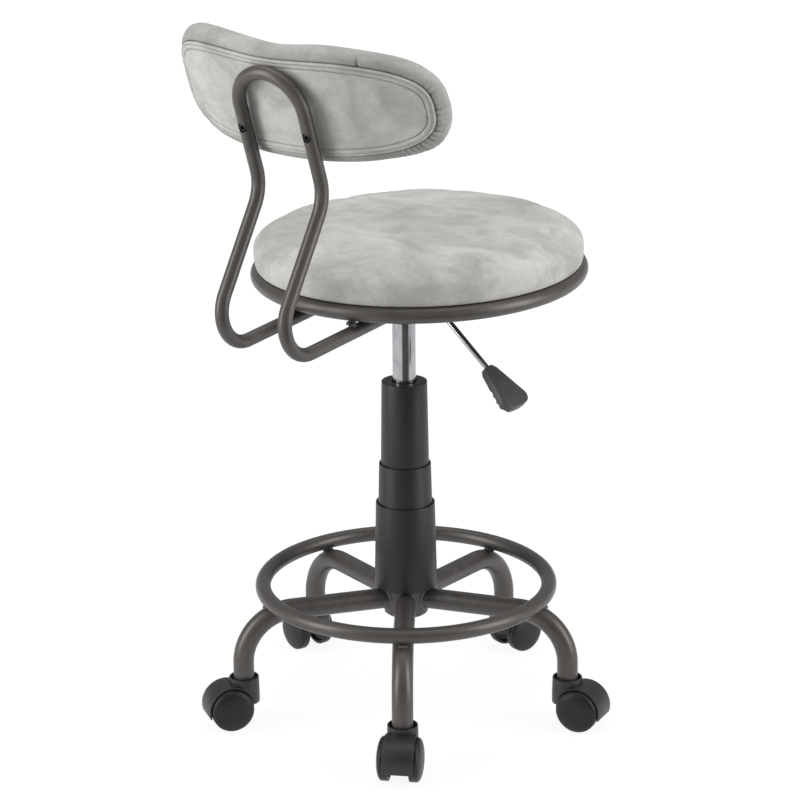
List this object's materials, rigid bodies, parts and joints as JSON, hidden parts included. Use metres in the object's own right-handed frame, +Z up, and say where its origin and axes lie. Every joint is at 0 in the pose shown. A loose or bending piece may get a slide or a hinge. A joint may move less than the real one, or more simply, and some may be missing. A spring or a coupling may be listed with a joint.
{
  "type": "drafting chair",
  "caption": "Drafting chair with a round padded seat, a small curved back pad on a bent tube, a gas lift with a height lever, a foot ring and a base on casters.",
  "frame": {"origin": "on the floor, under the middle of the chair's outer box", "axes": "+Z up along the column; the sitter faces -Y and the backrest stands at +Y; +X is the sitter's left"},
  "size_m": [0.4934, 0.5372, 0.8607],
  "materials": {
    "frame_metal": "satin powder coat",
    "black_tube": "black enamel",
    "black_screw": "black oxide",
    "chrome": "polished",
    "steel": "turned",
    "bearing": "ground",
    "black_plastic": "fine moulded grain",
    "dark_plastic": "smooth moulded",
    "board": "raw plywood",
    "suede": "mottled microfibre suede"
  },
  "bodies": {
    "base": {"base_hub": "frame_metal", "leg_1": "frame_metal", "leg_2": "frame_metal", "leg_3": "frame_metal", "leg_4": "frame_metal", "leg_5": "frame_metal", "foot_ring": "frame_metal", "lift_outer_tube": "black_tube", "lift_guide_bush": "dark_plastic", "cover_lower": "black_plastic", "caster_stem_1": "steel", "caster_stem_2": "steel", "caster_stem_3": "steel", "caster_stem_4": "steel", "caster_stem_5": "steel"},
    "cover_middle": {"cover_middle": "black_plastic"},
    "cover_upper": {"cover_upper": "black_plastic"},
    "piston": {"piston_rod": "steel", "thrust_bearing": "bearing"},
    "seat": {"lift_pressure_tube": "chrome", "rod_guide": "dark_plastic", "taper_socket": "frame_metal", "mechanism_plate": "frame_metal", "lever_pivot_pin": "steel", "cross_bar_front": "frame_metal", "cross_bar_rear": "frame_metal", "seat_ring": "frame_metal", "seat_board": "board", "seat_cushion": "suede", "back_tube": "frame_metal", "back_screw_left": "black_screw", "back_screw_right": "black_screw", "backrest_rear_panel": "suede", "backrest_board": "board", "backrest_cushion": "suede"},
    "valve_pin": {"release_pin": "steel"},
    "lever": {"lever_rod": "chrome", "lever_grip": "black_plastic"},
    "caster_1": {"caster_hood_1": "black_plastic", "caster_axle_1": "steel"},
    "wheel_left_1": {"caster_wheel_left_1": "dark_plastic"},
    "wheel_right_1": {"caster_wheel_right_1": "dark_plastic"},
    "caster_2": {"caster_hood_2": "black_plastic", "caster_axle_2": "steel"},
    "wheel_left_2": {"caster_wheel_left_2": "dark_plastic"},
    "wheel_right_2": {"caster_wheel_right_2": "dark_plastic"},
    "caster_3": {"caster_hood_3": "black_plastic", "caster_axle_3": "steel"},
    "wheel_left_3": {"caster_wheel_left_3": "dark_plastic"},
    "wheel_right_3": {"caster_wheel_right_3": "dark_plastic"},
    "caster_4": {"caster_hood_4": "black_plastic", "caster_axle_4": "steel"},
    "wheel_left_4": {"caster_wheel_left_4": "dark_plastic"},
    "wheel_right_4": {"caster_wheel_right_4": "dark_plastic"},
    "caster_5": {"caster_hood_5": "black_plastic", "caster_axle_5": "steel"},
    "wheel_left_5": {"caster_wheel_left_5": "dark_plastic"},
    "wheel_right_5": {"caster_wheel_right_5": "dark_plastic"}
  },
  "joints": [
    {"name": "seat_swivel", "type": "hinge", "parent": "base", "child": "piston", "pos_m": [-0.00034, -0.01202, 0.3], "axis": [0, 0, 1], "continuous": true},
    {"name": "seat_lift", "type": "slide", "parent": "piston", "child": "seat", "axis": [0, 0, 1], "range_m": [-0.12, 0]},
    {"name": "cover_middle_slide", "type": "slide", "parent": "base", "child": "cover_middle", "axis": [0, 0, 1], "range_m": [-0.024, 0]},
    {"name": "cover_upper_slide", "type": "slide", "parent": "base", "child": "cover_upper", "axis": [0, 0, 1], "range_m": [-0.0528, 0]},
    {"name": "height_lever", "type": "hinge", "parent": "seat", "child": "lever", "pos_m": [-0.03134, -0.0268, 0.51436], "axis": [0, 0.9997, -0.0251], "range_deg": [0, 5], "stiffness_Nm_per_rad": 1, "springref_deg": -5.73},
    {"name": "release_pin_slide", "type": "slide", "parent": "seat", "child": "valve_pin", "axis": [0, 0, 1], "range_m": [-0.0035, 0]},
    {"name": "caster_swivel_1", "type": "hinge", "parent": "base", "child": "caster_1", "pos_m": [-0.00034, -0.21702, 0.05], "axis": [0, 0, 1], "continuous": true},
    {"name": "wheel_left_roll_1", "type": "hinge", "parent": "caster_1", "child": "wheel_left_1", "pos_m": [-0.00449, -0.23658, 0.026], "axis": [0.9781, -0.2079, 0], "continuous": true},
    {"name": "wheel_right_roll_1", "type": "hinge", "parent": "caster_1", "child": "wheel_right_1", "pos_m": [-0.00449, -0.23658, 0.026], "axis": [0.9781, -0.2079, 0], "continuous": true},
    {"name": "caster_swivel_2", "type": "hinge", "parent": "base", "child": "caster_2", "pos_m": [0.19463, -0.07537, 0.05], "axis": [0, 0, 1], "continuous": true},
    {"name": "wheel_left_roll_2", "type": "hinge", "parent": "caster_2", "child": "wheel_left_2", "pos_m": [0.21365, -0.08155, 0.026], "axis": [0.309, 0.9511, 0], "continuous": true},
    {"name": "wheel_right_roll_2", "type": "hinge", "parent": "caster_2", "child": "wheel_right_2", "pos_m": [0.21365, -0.08155, 0.026], "axis": [0.309, 0.9511, 0], "continuous": true},
    {"name": "caster_swivel_3", "type": "hinge", "parent": "base", "child": "caster_3", "pos_m": [0.12016, 0.15383, 0.05], "axis": [0, 0, 1], "continuous": true},
    {"name": "wheel_left_roll_3", "type": "hinge", "parent": "caster_3", "child": "wheel_left_3", "pos_m": [0.13105, 0.1706, 0.026], "axis": [-0.8387, 0.5446, 0], "continuous": true},
    {"name": "wheel_right_roll_3", "type": "hinge", "parent": "caster_3", "child": "wheel_right_3", "pos_m": [0.13105, 0.1706, 0.026], "axis": [-0.8387, 0.5446, 0], "continuous": true},
    {"name": "caster_swivel_4", "type": "hinge", "parent": "base", "child": "caster_4", "pos_m": [-0.12083, 0.15383, 0.05], "axis": [0, 0, 1], "continuous": true},
    {"name": "wheel_left_roll_4", "type": "hinge", "parent": "caster_4", "child": "wheel_left_4", "pos_m": [-0.13053, 0.17132, 0.026], "axis": [-0.8746, -0.4848, 0], "continuous": true},
    {"name": "wheel_right_roll_4", "type": "hinge", "parent": "caster_4", "child": "wheel_right_4", "pos_m": [-0.13053, 0.17132, 0.026], "axis": [-0.8746, -0.4848, 0], "continuous": true},
    {"name": "caster_swivel_5", "type": "hinge", "parent": "base", "child": "caster_5", "pos_m": [-0.1953, -0.07537, 0.05], "axis": [0, 0, 1], "continuous": true},
    {"name": "wheel_left_roll_5", "type": "hinge", "parent": "caster_5", "child": "wheel_left_5", "pos_m": [-0.21493, -0.07919, 0.026], "axis": [0.1908, -0.9816, 0], "continuous": true},
    {"name": "wheel_right_roll_5", "type": "hinge", "parent": "caster_5", "child": "wheel_right_5", "pos_m": [-0.21493, -0.07919, 0.026], "axis": [0.1908, -0.9816, 0], "continuous": true}
  ],
  "couplings": [
    {"joint": "cover_middle_slide", "follows": "seat_lift", "ratio": 0.2},
    {"joint": "cover_upper_slide", "follows": "seat_lift", "ratio": 0.44},
    {"joint": "release_pin_slide", "follows": "height_lever", "m_per_rad": -0.033}
  ]
}
